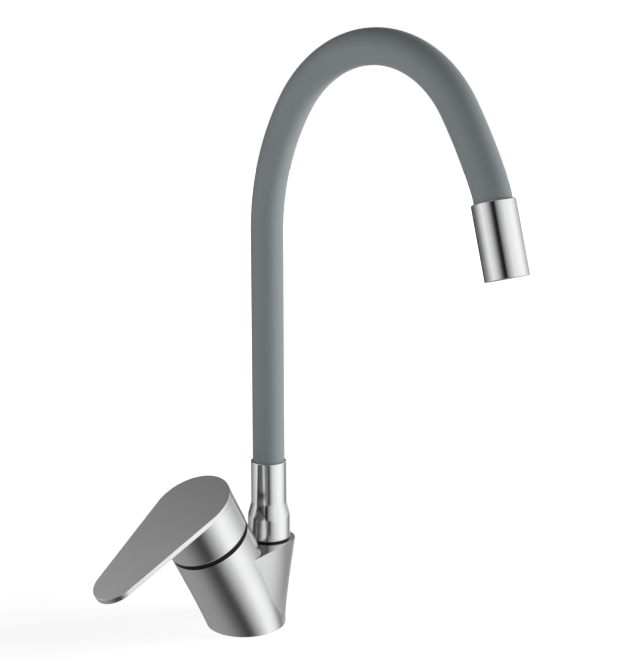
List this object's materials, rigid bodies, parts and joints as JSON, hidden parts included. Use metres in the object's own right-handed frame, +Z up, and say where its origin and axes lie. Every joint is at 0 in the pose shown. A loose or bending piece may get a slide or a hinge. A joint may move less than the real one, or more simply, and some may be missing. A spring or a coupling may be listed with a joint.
{
  "type": "kitchen mixer tap",
  "caption": "Kitchen mixer tap with a flexible silicone-sleeved swan-neck spout, a slanted body and a teardrop side lever on a round cap",
  "frame": {"origin": "centre of the round base, on the deck that it stands on, at the mouth of the fixing stud's hole", "axes": "+Z up, the lever points to -X, the spout stands on the +X side and reaches to -Y"},
  "size_m": [0.1495, 0.2132, 0.3611],
  "materials": {
    "steel": "satin",
    "inner_steel": "plain",
    "silicone": "matt",
    "tube": "smooth",
    "seal": "matt",
    "dark_plastic": "fine matt",
    "pale_plastic": "smooth",
    "ceramic": "polished ceramic",
    "brass": "turned"
  },
  "bodies": {
    "tap_body": {"body_casting": "steel", "base_seal": "seal", "cartridge_base": "dark_plastic", "port_seals": "seal", "fixed_disc": "ceramic", "cartridge_can": "dark_plastic", "retaining_nut": "brass", "dust_ring": "dark_plastic", "slip_ring": "dark_plastic", "spout_retaining_screw": "inner_steel"},
    "driver": {"turret": "pale_plastic", "pivot_pin": "inner_steel"},
    "lever": {"lever_handle": "steel", "lever_stem": "inner_steel", "grub_screw": "inner_steel", "index_plug": "dark_plastic"},
    "disc": {"moving_disc": "ceramic", "disc_carrier": "pale_plastic"},
    "spout_base": {"swivel_collar": "steel", "swivel_spigot": "brass", "spigot_o_rings": "seal", "lower_hose_ferrule": "brass", "sleeve_foot": "silicone", "gooseneck_foot": "inner_steel", "water_tube_foot": "tube", "sleeve_flex_lower": "silicone", "gooseneck_flex_lower": "inner_steel", "water_tube_flex_lower": "tube"},
    "spout_riser": {"sleeve_riser": "silicone", "gooseneck_riser": "inner_steel", "water_tube_riser": "tube", "sleeve_flex_shoulder": "silicone", "gooseneck_flex_shoulder": "inner_steel", "water_tube_flex_shoulder": "tube"},
    "spout_crown": {"sleeve_crown": "silicone", "gooseneck_crown": "inner_steel", "water_tube_crown": "tube", "sleeve_flex_outlet": "silicone", "gooseneck_flex_outlet": "inner_steel", "water_tube_flex_outlet": "tube"},
    "spout_outlet": {"sleeve_outlet": "silicone", "gooseneck_outlet": "inner_steel", "water_tube_outlet": "tube", "head_shell": "steel", "outlet_hose_ferrule": "brass", "aerator_gasket": "seal", "aerator_housing": "pale_plastic", "aerator_insert": "pale_plastic"}
  },
  "joints": [
    {"name": "mix_turn", "type": "hinge", "parent": "tap_body", "child": "driver", "pos_m": [-0.02236, 0, 0.0482], "axis": [-0.4818, 0, 0.8763], "range_deg": [-45, 45]},
    {"name": "lever_lift", "type": "hinge", "parent": "driver", "child": "lever", "pos_m": [-0.0242, 0, 0.05155], "axis": [0, 1, 0], "range_deg": [0, 18]},
    {"name": "disc_slide", "type": "slide", "parent": "driver", "child": "disc", "axis": [-0.8763, 0, -0.4818], "range_m": [0, 0.00283]},
    {"name": "spout_swivel", "type": "hinge", "parent": "tap_body", "child": "spout_base", "pos_m": [0.02056, 0, 0.06], "axis": [0, 0, 1], "continuous": true},
    {"name": "lower_bend", "type": "hinge", "parent": "spout_base", "child": "spout_riser", "pos_m": [0.02056, 0, 0.16], "axis": [1, 0, 0], "range_deg": [-25, 30], "deforming": ["sleeve_flex_lower", "gooseneck_flex_lower", "water_tube_flex_lower"]},
    {"name": "shoulder_bend", "type": "hinge", "parent": "spout_riser", "child": "spout_crown", "pos_m": [0.02056, -0.02441, 0.32103], "axis": [1, 0, 0], "range_deg": [-30, 25], "deforming": ["sleeve_flex_shoulder", "gooseneck_flex_shoulder", "water_tube_flex_shoulder"]},
    {"name": "outlet_bend", "type": "hinge", "parent": "spout_crown", "child": "spout_outlet", "pos_m": [0.02056, -0.14434, 0.31673], "axis": [1, 0, 0], "range_deg": [-30, 25], "deforming": ["sleeve_flex_outlet", "gooseneck_flex_outlet", "water_tube_flex_outlet"]}
  ],
  "couplings": [
    {"joint": "disc_slide", "follows": "lever_lift", "m_per_rad": 0.009}
  ]
}
